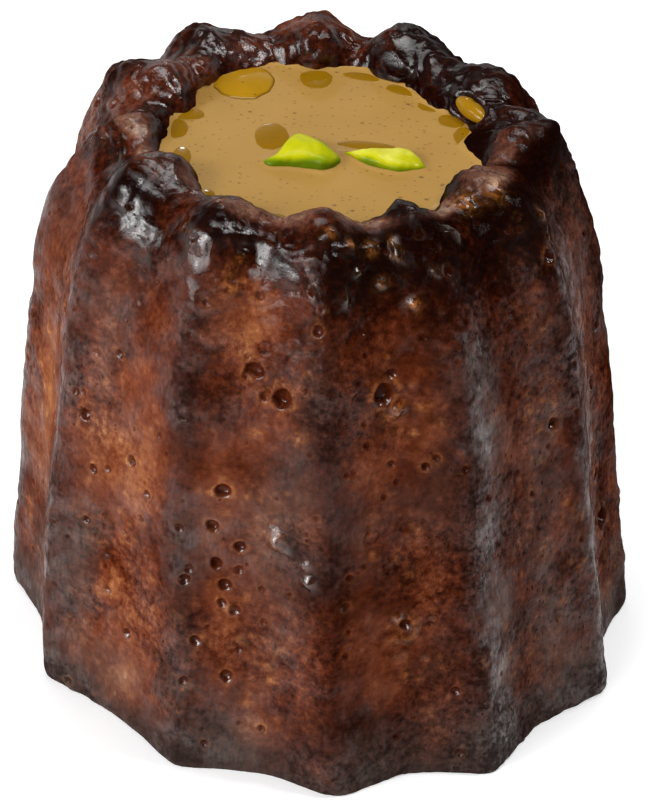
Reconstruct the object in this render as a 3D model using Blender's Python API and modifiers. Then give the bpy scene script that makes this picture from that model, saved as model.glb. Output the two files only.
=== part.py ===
"""A canele: a small fluted cake with a dark glazed crust, its top a shallow dish of cream.

Four solids, in metres, +Z up, standing on z = 0 with the middle of the whole at x = y = 0:
the pastry, the cream in its dish, and two slivers of pistachio sunk a little into the cream.
Turns are measured from the front (-Y) round towards the right (+X).
"""
import math
import random

import bmesh
import bpy
import numpy as np
from mathutils import Vector, noise

MM = 0.001

# The moulded body
RIDGES = 12
FIRST_RIDGE = math.radians(4.6)
HEIGHT = 49.8 * MM
LEAN_X = -3.0 * MM  # how far the rim stands to the left of the base
LEAN_BEND = 0.85
BASE_EDGE, WALL_TOP, SHOULDER, CREST, DISH_WALL = 0, 5, 8, 9, 12  # places in the outlines below

# Half outlines, as (radius, height) from the base's edge up the wall, over the rim and into the
# dish. One runs along a ridge, the other along the bottom of the flute beside it.
RIDGE_LINE = [
    (27.0, 0.0), (27.6, 1.0), (26.7, 10.0), (25.6, 20.0), (24.6, 30.0), (23.3, 38.5), (21.9, 43.2),
    (20.2, 46.8), (18.5, 48.8), (16.5, 49.5), (14.4, 49.0), (12.8, 47.4), (12.1, 45.4),
    (10.8, 43.0), (8.2, 41.9), (4.0, 41.7), (0.0, 41.7),
]
FLUTE_LINE = [
    (25.1, 0.0), (25.5, 1.0), (24.7, 10.0), (24.0, 20.0), (23.1, 30.0), (21.8, 38.5), (20.4, 42.6),
    (18.9, 45.4), (17.2, 47.3), (15.3, 48.0), (14.1, 47.7), (13.3, 46.8), (12.3, 45.2),
    (10.8, 43.0), (8.2, 41.9), (4.0, 41.7), (0.0, 41.7),
]
RIDGE_EDGE = 0.10  # how round a ridge's edge is, as a share of half a flute
FLUTE_CURVE = 1.8

# How each ridge strays, from the front one round to the right: its turn at the base and at the
# rim in degrees, and how far out and up its rim lobe stands in millimetres.
STRAYS = [
    (0.0, -1.0, 0.0, 0.0), (-0.5, -4.0, -0.8, 0.0), (1.5, -2.5, 0.0, -0.2), (0.0, 3.0, 2.0, -0.6),
    (0.0, -2.0, 0.5, 0.1), (0.0, 1.0, 0.2, 0.0), (0.0, -2.5, -0.3, 0.3), (0.0, 5.0, 0.0, 0.0),
    (0.0, 2.5, -0.5, -0.4), (-2.5, -0.5, 0.0, 0.0), (-2.3, 0.0, -0.3, -0.3), (1.3, 0.0, 0.0, 0.0),
]

# Round knobs of crust on the rim, and one hollow: ridge number, place in the outline, radius and
# height.
KNOBS = [
    (8.1, 10.6, 3.2 * MM, 1.2 * MM),
    (9.0, 7.4, 5.0 * MM, -1.6 * MM),
    (4.6, 8.8, 2.5 * MM, 0.8 * MM),
    (3.6, 8.8, 2.2 * MM, 0.6 * MM),
    (7.4, 10.3, 1.4 * MM, 0.9 * MM),
    (2.75, 9.2, 2.4 * MM, 0.9 * MM),
    (5.0, 10.3, 2.2 * MM, 0.8 * MM),
    (6.1, 10.3, 1.8 * MM, 0.9 * MM),
    (10.0, 10.2, 2.6 * MM, 0.7 * MM),
    (2.0, 10.3, 2.4 * MM, 0.8 * MM),
    (11.6, 8.0, 1.8 * MM, 0.6 * MM),
    (4.3, 11.3, 3.0 * MM, 1.5 * MM),
    (2.95, 11.4, 2.3 * MM, 1.1 * MM),
]

# Unevenness of the crust: wavelength, and height on the wall and on the rim
SWELLS = [(9.0 * MM, 0.35 * MM, 0.35 * MM), (3.6 * MM, 0.16 * MM, 0.42 * MM)]

# Bubble pits. Those that stand out on the front: ridge number, place in the outline, and radius
# at the surface. The others are scattered over the rest of the wall.
FRONT_PITS = [
    (2.67, 2.20, 1.08 * MM), (0.42, 4.78, 0.86 * MM), (11.70, 4.73, 0.82 * MM),
    (11.50, 4.97, 0.66 * MM), (11.29, 3.74, 0.66 * MM), (11.25, 3.04, 0.60 * MM),
    (11.30, 2.85, 0.54 * MM), (11.23, 3.39, 0.54 * MM), (11.31, 1.95, 0.50 * MM),
    (0.53, 2.53, 0.50 * MM), (10.19, 3.84, 0.50 * MM), (11.06, 2.87, 0.48 * MM),
    (11.40, 3.22, 0.48 * MM), (10.28, 3.37, 0.42 * MM), (10.59, 3.65, 0.42 * MM),
    (10.25, 2.85, 0.42 * MM), (10.59, 1.94, 0.42 * MM), (10.41, 4.59, 0.42 * MM),
    (11.12, 2.30, 0.42 * MM), (0.72, 4.02, 0.42 * MM),
]
PITS = 48
PIT_SEED = 7
PIT_MOUTH = (0.46 * MM, 0.80 * MM)
PIT_DEPTH = 0.85  # as a share of the mouth's radius
PIT_SPACING = 3.6 * MM
FRONT_SIDE = (-2.6, 1.6)  # ridge numbers between which no others are scattered

# The cream and the pistachios
CREAM_LEVEL = 46.8 * MM
GAP = 0.3 * MM
SUNK = 0.8 * MM  # how deep the pistachios sit in the cream
# Each sliver's stations along x: x, y, half width, top above the cream
SLIVER_LEFT = [
    (-7.4, -3.9, 0.35, 0.35), (-7.0, -4.1, 0.6, 0.7), (-6.2, -3.85, 0.85, 0.95),
    (-5.6, -2.95, 1.6, 1.15), (-5.0, -2.45, 2.0, 1.3), (-4.2, -2.4, 2.05, 1.4),
    (-3.4, -2.65, 1.95, 1.4), (-2.5, -3.2, 1.6, 1.4), (-1.7, -3.35, 1.05, 1.2),
    (-1.1, -3.1, 0.4, 0.75),
]
SLIVER_RIGHT = [
    (-0.95, -1.6, 0.22, 0.35), (-0.1, -2.0, 0.4, 0.65), (0.65, -2.3, 0.7, 0.85),
    (1.75, -2.45, 1.05, 1.0), (3.0, -2.5, 1.4, 1.0), (4.1, -2.4, 1.6, 0.95),
    (5.2, -2.6, 1.05, 0.75), (5.85, -2.95, 0.4, 0.45),
]

# Mesh fineness
COLUMNS = 120
WALL_ROWS, RIM_ROWS, DISH_ROWS, CREAM_ROWS = 17, 15, 3, 4
SECTION_POINTS = 10
WELD = 0.00001


def smooth_step(x):
    x = np.clip(x, 0.0, 1.0)
    return x * x * (3.0 - 2.0 * x)


def along(points, place):
    """The smooth curve through an outline's points, at a place counted in points."""
    p = np.asarray(points, float) * MM
    last = len(p) - 1
    place = np.clip(place, 0.0, last - 1e-9)
    i = np.floor(place).astype(int)
    f = (place - i)[..., None]
    a, b, c, d = (p[np.clip(i + k, 0, last)] for k in (-1, 0, 1, 2))
    return 0.5 * (2 * b + (c - a) * f + (2 * a - 5 * b + 4 * c - d) * f**2
                  + (3 * b - a - 3 * c + d) * f**3)


def round_the_ring(column, ridge):
    """One of the strays, eased from each ridge to the next."""
    values = np.array(STRAYS)[:, column]
    k = np.floor(ridge).astype(int)
    f = smooth_step(ridge - k)
    return values[k % RIDGES] * (1 - f) + values[(k + 1) % RIDGES] * f


def moulded(ridge, place):
    """A point of the smooth body, by ridge number and place in the outline."""
    across = 2 * np.abs(ridge - np.round(ridge))
    edge = (np.sqrt(across**2 + RIDGE_EDGE**2) - RIDGE_EDGE) / (
        math.sqrt(1 + RIDGE_EDGE**2) - RIDGE_EDGE)
    wall = (1 - edge) ** FLUTE_CURVE
    lobe = 0.5 + 0.5 * np.cos(math.pi * across)
    rim = smooth_step((place - WALL_TOP - 0.5) / 2.5)
    share = (wall * (1 - rim) + lobe * rim)[..., None]
    outline = along(RIDGE_LINE, place) * share + along(FLUTE_LINE, place) * (1 - share)
    out = lobe * smooth_step((place - SHOULDER + 1) / 2) * smooth_step((DISH_WALL - place) / 2)
    radius = outline[..., 0] + round_the_ring(2, ridge) * MM * out
    height = outline[..., 1] + round_the_ring(3, ridge) * MM * out
    rise = np.clip(height / HEIGHT, 0, None)
    stray = round_the_ring(0, ridge) * (1 - rise) + round_the_ring(1, ridge) * rise
    turn = FIRST_RIDGE + np.radians(stray) + 2 * math.pi * ridge / RIDGES
    lean = LEAN_X * rise**LEAN_BEND
    return np.stack([radius * np.sin(turn) + lean, -radius * np.cos(turn), height], -1)


def facing(ridge, place):
    """The smooth body's outward normal."""
    step = 0.02
    along_ring = moulded(ridge + step, place) - moulded(ridge - step, place)
    up = moulded(ridge, place + step) - moulded(ridge, place - step)
    normal = np.cross(along_ring, up)
    return normal / np.maximum(np.linalg.norm(normal, axis=-1, keepdims=True), 1e-12)


def unevenness(points, place):
    """How far the crust stands out of the smooth body."""
    rim = smooth_step((place - WALL_TOP) / 3)
    height = np.zeros(len(points))
    for wave, on_wall, on_rim in SWELLS:
        wander = np.array([noise.noise(Vector(p / wave)) for p in points])
        height += wander * (on_wall * (1 - rim) + on_rim * rim)
    for ridge, spot, radius, rise in KNOBS:
        centre = moulded(np.array([ridge]), np.array([float(spot)]))[0]
        away = np.linalg.norm(points - centre, axis=1)
        height += rise * np.exp(-((away / radius) ** 2))
    fade = smooth_step(place / 0.5) * smooth_step((DISH_WALL + 1 - place) / 1.5)
    return height * fade


def crust(ridge, place):
    """Points of the uneven crust."""
    ridge = np.asarray(ridge, float)
    place = np.asarray(place, float)
    points = moulded(ridge, place)
    normals = facing(ridge, np.clip(place, 0.05, DISH_WALL + 3.5))
    return points + normals * unevenness(points, place)[:, None]


def material(name, color, roughness, coat=0.0):
    mat = bpy.data.materials.new(name)
    mat.use_nodes = True
    shader = mat.node_tree.nodes["Principled BSDF"]
    shader.inputs["Base Color"].default_value = (*color, 1.0)
    shader.inputs["Roughness"].default_value = roughness
    shader.inputs["Metallic"].default_value = 0.0
    shader.inputs["Coat Weight"].default_value = coat
    mat.diffuse_color = (*color, 1.0)
    return mat


def mesh_object(name, mesh, collection, mat=None):
    ob = bpy.data.objects.new(name, mesh)
    collection.objects.link(ob)
    if mat:
        mesh.materials.append(mat)
    return ob


def turned(name, outline, collection, mat):
    """A solid of revolution: a half outline from the top's middle round to the bottom's, screwed
    once round the z axis."""
    mesh = bpy.data.meshes.new(name)
    verts = [(radius, 0.0, height) for radius, height in outline]
    mesh.from_pydata(verts, [(i, i + 1) for i in range(len(verts) - 1)], [])
    ob = mesh_object(name, mesh, collection)
    screw = ob.modifiers.new("turn", "SCREW")
    screw.axis = "Z"
    screw.steps = screw.render_steps = COLUMNS
    screw.use_merge_vertices = True
    screw.merge_threshold = WELD
    bpy.context.view_layer.update()
    evaluated = ob.evaluated_get(bpy.context.evaluated_depsgraph_get())
    ob.data = bpy.data.meshes.new_from_object(evaluated)
    ob.modifiers.clear()
    bpy.data.meshes.remove(mesh)
    ob.data.materials.append(mat)
    return ob


def reshape(ob, outline, rows):
    """Moves each vertex of a turned solid to where rows(ridge, row numbers) puts it."""
    outline = np.array(outline)
    count = len(ob.data.vertices)
    flat = np.empty(count * 3)
    ob.data.vertices.foreach_get("co", flat)
    points = flat.reshape(-1, 3)
    radius = np.hypot(points[:, 0], points[:, 1])
    away = (radius[:, None] - outline[:, 0]) ** 2 + (points[:, 2, None] - outline[:, 1]) ** 2
    row = np.argmin(away, axis=1)
    turn = np.arctan2(points[:, 0], -points[:, 1])
    ridge = np.round(turn / (2 * math.pi) * COLUMNS) * RIDGES / COLUMNS
    moved = rows(ridge % RIDGES, row)
    ob.data.vertices.foreach_set("co", moved.astype(np.float32).ravel())
    ob.data.update()


def pastry_solid(collection, mat):
    """The fluted body, turned as if it were round and then pressed into the mould's shape."""
    wall = np.linspace(BASE_EDGE, WALL_TOP + 0.5, WALL_ROWS + 1)[:-1]
    wall = np.insert(wall, 1, 0.5)
    rim = np.linspace(WALL_TOP + 0.5, DISH_WALL + 1, RIM_ROWS + 1)[:-1]
    dish = np.linspace(DISH_WALL + 1, len(RIDGE_LINE) - 1, DISH_ROWS + 1)
    places = np.concatenate([wall, rim, dish])
    shares = np.array([0.0, 0.5])  # the flat underside's middle, and a ring half way out
    base = along(RIDGE_LINE, places[:1])[0]
    outline = [tuple(p) for p in along(RIDGE_LINE, places)[::-1]]
    outline += [(base[0] * share, 0.0) for share in shares[::-1]]
    outline[0] = (0.0, outline[0][1])

    def rows(ridge, row):
        crown = len(places) - 1 - row
        place = places[np.clip(crown, 0, None)]
        points = crust(ridge, place)
        share = np.where(crown == -1, shares[1], np.where(crown == -2, shares[0], 1.0))
        points[:, :2] *= share[:, None]
        points[place <= BASE_EDGE, 2] = 0.0
        return points

    ob = turned("pastry", outline, collection, mat)
    reshape(ob, outline, rows)
    return ob


def cream_edge(ridge):
    """Where the cream's level meets the dish's wall, as a place in the outline."""
    places = np.linspace(CREST + 0.6, DISH_WALL + 0.5, 90)
    found = np.empty(len(ridge))
    for n, number in enumerate(ridge):
        heights = crust(np.full(len(places), number), places)[:, 2]
        above = np.nonzero(heights > CREAM_LEVEL)[0]
        found[n] = places[min(above[-1] + 1, len(places) - 1)]
    return found


def cream_solid(collection, mat):
    """The cream: the dish's shape, a gap smaller, up to its level."""
    top, floor = 13.4 * MM, len(RIDGE_LINE) - 1.0
    shares = np.linspace(0, 1, CREAM_ROWS + 1)
    outline = [(0.0, CREAM_LEVEL)]
    outline += [(top * (1 - share), CREAM_LEVEL - share * 4.8 * MM) for share in shares]
    numbers = np.arange(COLUMNS) * RIDGES / COLUMNS
    edges = cream_edge(numbers)

    def rows(ridge, row):
        edge = edges[np.round(ridge * COLUMNS / RIDGES).astype(int) % COLUMNS]
        share = shares[np.clip(row - 1, 0, None)]
        place = edge + (floor - edge) * share
        near = np.clip(place, 0, floor - 0.3)
        points = crust(ridge, place) + facing(ridge, near) * GAP * 1.25
        points[row <= 1, 2] = CREAM_LEVEL
        middle = crust(np.zeros(1), np.array([floor]))[0]
        points[row == 0] = (middle[0], middle[1], CREAM_LEVEL)
        points[row == CREAM_ROWS + 1] = (middle[0], middle[1], middle[2] + GAP)
        return points

    ob = turned("cream", outline, collection, mat)
    reshape(ob, outline, rows)
    return ob


def sliver_mesh(name, stations, grow=0.0):
    """A loft along x through flat-topped sections, closed at both ends. Grown, it is a cutter."""
    bm = bmesh.new()
    rings = []
    for n, (x, y, half, top) in enumerate(stations):
        end = (n == len(stations) - 1) - (n == 0)
        low = CREAM_LEVEL - SUNK - grow
        high = CREAM_LEVEL + top * MM + grow
        mid, tall = (low + high) / 2, (high - low) / 2
        ring = []
        for k in range(SECTION_POINTS):
            a = 2 * math.pi * (k + 0.5) / SECTION_POINTS
            across = math.copysign(abs(math.cos(a)) ** 0.7, math.cos(a)) * (half * MM + grow)
            up = math.copysign(abs(math.sin(a)) ** 0.7, math.sin(a)) * tall
            ring.append(bm.verts.new((x * MM + grow * end, y * MM + across, mid + up)))
        rings.append(ring)
    for ring, after in zip(rings, rings[1:]):
        for k in range(SECTION_POINTS):
            nxt = (k + 1) % SECTION_POINTS
            bm.faces.new((ring[k], ring[nxt], after[nxt], after[k]))
    bm.faces.new(rings[0][::-1])
    bm.faces.new(rings[-1])
    bmesh.ops.recalc_face_normals(bm, faces=bm.faces)
    bmesh.ops.triangulate(bm, faces=bm.faces)
    mesh = bpy.data.meshes.new(name)
    bm.to_mesh(mesh)
    bm.free()
    return mesh


def cut(ob, cutter):
    cutter.hide_render = True
    cutter.display_type = "WIRE"
    boolean = ob.modifiers.new("cut", "BOOLEAN")
    boolean.operation = "DIFFERENCE"
    boolean.solver = "EXACT"
    boolean.object = cutter


def pit_places():
    """Ridge number, place and mouth radius of every pit, the scattered ones clear of the rest."""
    rng = random.Random(PIT_SEED)
    pits = list(FRONT_PITS)
    points = [crust([ridge], [place])[0] for ridge, place, _ in pits]
    while len(pits) < PITS:
        ridge = rng.uniform(FRONT_SIDE[1], RIDGES + FRONT_SIDE[0])
        place, mouth = rng.uniform(1.3, SHOULDER - 1.0), rng.uniform(*PIT_MOUTH)
        point = crust([ridge], [place])[0]
        if all(np.linalg.norm(point - other) > PIT_SPACING for other in points):
            pits.append((ridge, place, mouth))
            points.append(point)
    return pits


def pit_cutter(collection):
    """The larger bubble pits, as balls that bite into the crust."""
    bm = bmesh.new()
    for ridge, place, mouth in pit_places():
        depth = mouth * PIT_DEPTH
        radius = (mouth**2 + depth**2) / (2 * depth)
        outward = facing(np.array([ridge]), np.array([place]))[0]
        centre = crust([ridge], [place])[0] + outward * (radius - depth)
        ball = bmesh.ops.create_icosphere(bm, subdivisions=1, radius=radius)
        bmesh.ops.translate(bm, verts=ball["verts"], vec=Vector(centre))
    mesh = bpy.data.meshes.new("pits")
    bm.to_mesh(mesh)
    bm.free()
    return mesh_object("pits", mesh, collection)


def clear_scene():
    for ob in list(bpy.data.objects):
        bpy.data.objects.remove(ob, do_unlink=True)


def centre_on_origin(objects, followers):
    """Slides everything so that the middle of the whole stands over x = y = 0."""
    bpy.context.view_layer.update()
    graph = bpy.context.evaluated_depsgraph_get()
    corners = []
    for ob in objects:
        mesh = ob.evaluated_get(graph).data
        flat = np.empty(len(mesh.vertices) * 3)
        mesh.vertices.foreach_get("co", flat)
        corners += [flat.reshape(-1, 3).min(0), flat.reshape(-1, 3).max(0)]
    middle = (np.min(corners, axis=0) + np.max(corners, axis=0)) / 2
    for ob in objects + followers:
        ob.location.x -= middle[0]
        ob.location.y -= middle[1]


def main():
    clear_scene()
    parts = bpy.data.collections.new("canele")
    cutters = bpy.data.collections.new("cutters")
    bpy.context.scene.collection.children.link(parts)
    bpy.context.scene.collection.children.link(cutters)

    crust_brown = material("crust", (0.10, 0.028, 0.012), 0.30, coat=0.6)
    cream_tan = material("cream", (0.48, 0.33, 0.18), 0.35)
    nut_green = material("pistachio", (0.42, 0.60, 0.05), 0.40)

    pastry = pastry_solid(parts, crust_brown)
    pits = pit_cutter(cutters)
    cut(pastry, pits)
    cream = cream_solid(parts, cream_tan)

    slivers, pockets = [], []
    for side, stations in (("left", SLIVER_LEFT), ("right", SLIVER_RIGHT)):
        name = "pistachio_" + side
        slivers.append(mesh_object(name, sliver_mesh(name, stations), parts, nut_green))
        pocket = mesh_object("pocket_" + side, sliver_mesh("pocket_" + side, stations, GAP),
                             cutters)
        cut(cream, pocket)
        pockets.append(pocket)
    centre_on_origin([pastry, cream] + slivers, [pits] + pockets)


main()
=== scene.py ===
"""The looks of a canele: its glazed, pitted crust, the cream, the oil on it and the pistachios.

Metres, +Z up. Turns are measured from the front (-Y) round towards the right (+X).
"""
import math
import random

import bpy
import numpy as np
from mathutils import Matrix, Vector, noise


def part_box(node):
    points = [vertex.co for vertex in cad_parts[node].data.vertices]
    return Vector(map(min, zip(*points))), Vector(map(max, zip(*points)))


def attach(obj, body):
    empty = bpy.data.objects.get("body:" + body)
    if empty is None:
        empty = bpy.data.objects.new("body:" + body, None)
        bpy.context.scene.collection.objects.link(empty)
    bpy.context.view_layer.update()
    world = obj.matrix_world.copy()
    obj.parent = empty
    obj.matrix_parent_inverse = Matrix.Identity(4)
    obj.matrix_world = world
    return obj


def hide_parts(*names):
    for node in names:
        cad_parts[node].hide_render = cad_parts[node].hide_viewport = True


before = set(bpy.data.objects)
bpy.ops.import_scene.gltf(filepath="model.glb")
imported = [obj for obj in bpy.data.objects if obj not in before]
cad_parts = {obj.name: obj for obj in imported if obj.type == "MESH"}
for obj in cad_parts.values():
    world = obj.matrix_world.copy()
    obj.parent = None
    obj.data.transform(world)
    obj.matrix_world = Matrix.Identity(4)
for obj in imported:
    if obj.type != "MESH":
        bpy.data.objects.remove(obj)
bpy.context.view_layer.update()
MM = 0.001
scene = bpy.context.scene

# ---------- The camera, as the photograph has it
CAMERA_DISTANCE = 300 * MM
CAMERA_AIM = 25 * MM
CAMERA_ELEVATION = math.radians(34.48)
CAMERA_ROLL = math.radians(4.25)
IMAGE_WIDTH, IMAGE_HEIGHT = 653, 800
FOCAL_PIXELS = 3497
AXIS_PIXEL = (338.9, 362.3)  # where the camera's axis meets the image
SENSOR = 36
FLOOR_DROP = 0.02 * MM

# ---------- The moulded body, as the solids have it
RIDGES = 12
FIRST_RIDGE = math.radians(4.6)
HEIGHT = 49.8 * MM
LEAN_X = -3 * MM  # how far the rim leans to the left
LEAN_BEND = 0.85
BASE_EDGE, WALL_TOP, SHOULDER, CREST, DISH_WALL = 0, 5, 8, 9, 12  # places in the outlines below

# Half outlines, as (radius, height) from the base's edge up the wall, over the rim and into the
# dish. One runs along a ridge, the other along the bottom of the flute beside it.
RIDGE_LINE = [
    (27, 0), (27.6, 1), (26.7, 10), (25.6, 20), (24.6, 30), (23.3, 38.5), (21.9, 43.2),
    (20.2, 46.8), (18.5, 48.8), (16.5, 49.5), (14.4, 49), (12.8, 47.4), (12.1, 45.4), (10.8, 43),
    (8.2, 41.9), (4, 41.7), (0, 41.7),
]
FLUTE_LINE = [
    (25.1, 0), (25.5, 1), (24.7, 10), (24, 20), (23.1, 30), (21.8, 38.5), (20.4, 42.6),
    (18.9, 45.4), (17.2, 47.3), (15.3, 48), (14.1, 47.7), (13.3, 46.8), (12.3, 45.2), (10.8, 43),
    (8.2, 41.9), (4, 41.7), (0, 41.7),
]
RIDGE_EDGE = 0.1
FLUTE_CURVE = 1.8

# How each ridge strays, from the front one round to the right: its turn at the base and at the
# rim in degrees, and how far out and up its rim lobe stands in millimetres.
STRAYS = [
    (0, -1, 0, 0), (-0.5, -4, -0.8, 0), (1.5, -2.5, 0, -0.2), (0, 3, 2, -0.6), (0, -2, 0.5, 0.1),
    (0, 1, 0.2, 0), (0, -2.5, -0.3, 0.3), (0, 5, 0, 0), (0, 2.5, -0.5, -0.4), (-2.5, -0.5, 0, 0),
    (-2.3, 0, -0.3, -0.3), (1.3, 0, 0, 0),
]

# Round knobs of crust on the rim, and one hollow: ridge number, place in the outline, radius and
# height in millimetres
KNOBS = [
    (8.1, 10.6, 3.2, 1.2), (9, 7.4, 5, -1.6), (4.6, 8.8, 2.5, 0.8), (3.6, 8.8, 2.2, 0.6),
    (7.4, 10.3, 1.4, 0.9), (2.75, 9.2, 2.4, 0.9), (5, 10.3, 2.2, 0.8), (6.1, 10.3, 1.8, 0.9),
    (10, 10.2, 2.6, 0.7), (2, 10.3, 2.4, 0.8), (11.6, 8, 1.8, 0.6), (4.3, 11.3, 3, 1.5),
    (2.95, 11.4, 2.3, 1.1),
]
SWELLS = [(9, 0.35, 0.35), (3.6, 0.16, 0.42)]  # wavelength, height on the wall and on the rim
RIM_SOFT = 3  # how many places it takes from the wall's top to the rim
NORMAL_PLACES = (0.05, DISH_WALL + 3.5)  # beyond these the outline ends, and has no direction

CREAM_LEVEL = 46.8 * MM
CREAM_DEPTH = 4.6 * MM
CREAM_OVERLAP = 0.25 * MM  # how far the cream's edge stops short of the dish wall

# ---------- The crust's fine relief
COLUMNS = 1000
LAST_PLACE = DISH_WALL + 0.5
BASE_RINGS = (0.35, 0.7, 0.9, 0.98)  # rings of the underside, as shares of the base's edge
NARROWEST = 14 * MM  # the radius where a column is narrowest on the outside
ROW_STEP = 0.17 * MM
CRUST_TRIANGLES = 196000
# Millimetres: wavelength, and height on the smooth wall, the crinkled wall and the rim
PEBBLES = [(2.9, 0.06, 0.26, 0.46), (1.35, 0.03, 0.17, 0.3)]
GRAIN = (0.75, 0.015, 0.065, 0.11)
WARP = (2.4, 0.9)  # wavelength and reach of the bends in the pebbles' outlines
UPRIGHT = (1, 1, 0.3)  # draws noise out along the height

# Bubble pits, as the solid has them: ridge number, place, radius at the surface in millimetres
FRONT_PITS = [
    (2.67, 2.2, 1.08), (0.42, 4.78, 0.86), (11.7, 4.73, 0.82),
    (11.5, 4.97, 0.66), (11.29, 3.74, 0.66), (11.25, 3.04, 0.6),
    (11.3, 2.85, 0.54), (11.23, 3.39, 0.54), (11.31, 1.95, 0.5),
    (0.53, 2.53, 0.5), (10.19, 3.84, 0.5), (11.06, 2.87, 0.48),
    (11.4, 3.22, 0.48), (10.28, 3.37, 0.42), (10.59, 3.65, 0.42),
    (10.25, 2.85, 0.42), (10.59, 1.94, 0.42), (10.41, 4.59, 0.42),
    (11.12, 2.3, 0.42), (0.72, 4.02, 0.42),
]
PITS = 48
PIT_SEED = 7
PIT_MOUTH = (0.46 * MM, 0.8 * MM)
PIT_SPACING = 3.6 * MM
FRONT_SIDE = (-2.6, 1.6)  # ridge numbers between which no others are scattered

# Smaller pits, which only show here
SMALL_FRONT_PITS = [  # ridge number, place, radius in millimetres
    (11.88, 4.9, 0.26), (11.03, 3.35, 0.38), (11.37, 2.61, 0.38), (11.57, 2.54, 0.3),
    (11.2, 2.42, 0.28), (11.75, 2.87, 0.22), (0.3, 4.27, 0.34), (0.12, 2.6, 0.26),
    (0.11, 2.84, 0.36), (10.4, 3.44, 0.38), (10.75, 3.46, 0.34), (10.58, 2.89, 0.3),
    (10.43, 2.27, 0.38), (9.44, 2.48, 0.38), (9.51, 2.29, 0.26), (9.24, 2.3, 0.34),
    (9.27, 1.59, 0.34), (10.59, 3.96, 0.24), (10.84, 4.09, 0.32), (10.91, 3.97, 0.24),
    (10.16, 4.05, 0.26), (11.43, 4.89, 0.34), (10.38, 2.98, 0.28), (10.37, 2.75, 0.28),
    (11.06, 1.89, 0.36), (0.47, 4.06, 0.34), (0.7, 2.52, 0.3), (0.97, 3.99, 0.34),
    (1.16, 3.59, 0.34), (11.4, 2.23, 0.34), (0.1, 2.38, 0.34), (0.83, 1.85, 0.4),
    (11.18, 1.24, 0.34), (0.83, 1.2, 0.38), (11.48, 6.45, 0.36),
]
SMALL_SEED = 11
SMALL_PITS = [  # how many, radius from and to in millimetres, depth as a share of the radius
    (110, 0.28, 0.4, 0.75), (620, 0.13, 0.27, 0.65), (150, 0.35, 0.75, 0.18),
]

# Wet lumps: ridge number, place, radius and height in millimetres, how amber
LUMPS = [
    (11.67, 3.36, 0.8, 0.6, 0.2), (11.74, 3.29, 0.5, 0.35, 0.3), (11.87, 3.2, 0.5, 0.4, 0.1),
    (11.88, 3.06, 0.7, 0.62, 0.1), (0.47, 2.62, 0.5, 0.4, 0.6), (0.53, 4.6, 0.6, 0.5, 0.6),
    (0.03, 8.4, 0.5, 0.35, 1), (0.22, 8, 0.45, 0.3, 1.2), (0.43, 8, 0.55, 0.35, 1.6),
    (0.68, 7.6, 0.45, 0.3, 0.8), (0.68, 8.1, 0.4, 0.3, 1), (1.2, 8, 0.6, 0.4, 0.2),
    (1.25, 7.75, 0.5, 0.3, 0.2), (1.6, 8.9, 0.9, 0.4, 1.4), (1.85, 8.6, 0.8, 0.4, 1.3),
    (2.1, 7, 0.5, 0.3, 1.4), (0.3, 7.2, 0.5, 0.3, 0.2), (0.5, 6.9, 0.55, 0.35, 0.8),
    (0.75, 6.3, 0.5, 0.3, 1.4), (0.15, 6.5, 0.6, 0.3, 0.1), (0.95, 6.9, 0.5, 0.3, 0.2),
]
BUBBLES = [  # thin skins over air, dark at their outline: ridge number, place, radius in mm
    (11.7, 3.98, 0.54), (0.03, 4.56, 0.4), (0.62, 3.63, 0.46), (0.3, 3.43, 0.62),
    (0.45, 3.05, 0.45), (0.6, 2.95, 0.6), (0.75, 2.75, 0.4), (0.2, 2.2, 0.5), (0.4, 4.25, 0.35),
    (0.52, 4.22, 0.35), (1.55, 3.9, 0.4), (1.35, 2.9, 0.6), (1.45, 3.6, 0.45), (0.55, 2.05, 0.5),
    (11.55, 5.35, 0.5), (0.9, 3.2, 0.35), (1.62, 2.5, 0.5), (0.25, 1.75, 0.5),
]
BUBBLE_COUNT = 130
FRONT_BLISTERS = [  # ridge number and place of clusters that stand out on the front
    (0.5, 4.7), (0.6, 4.45), (0.5, 2.6), (0.66, 2.2), (0.62, 3.3), (11.68, 4.55), (10.52, 3.1),
    (10.55, 2.6), (11.36, 2.55), (11.55, 2.35), (11.15, 1.6), (1.45, 2.9), (1.3, 2.1),
    (11.55, 3.6), (11.3, 6.6), (1.62, 4.3),
]
BLISTER_CLUSTERS = 44
BLISTER_SEED = 5
BUBBLE_SEED = 9

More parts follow.
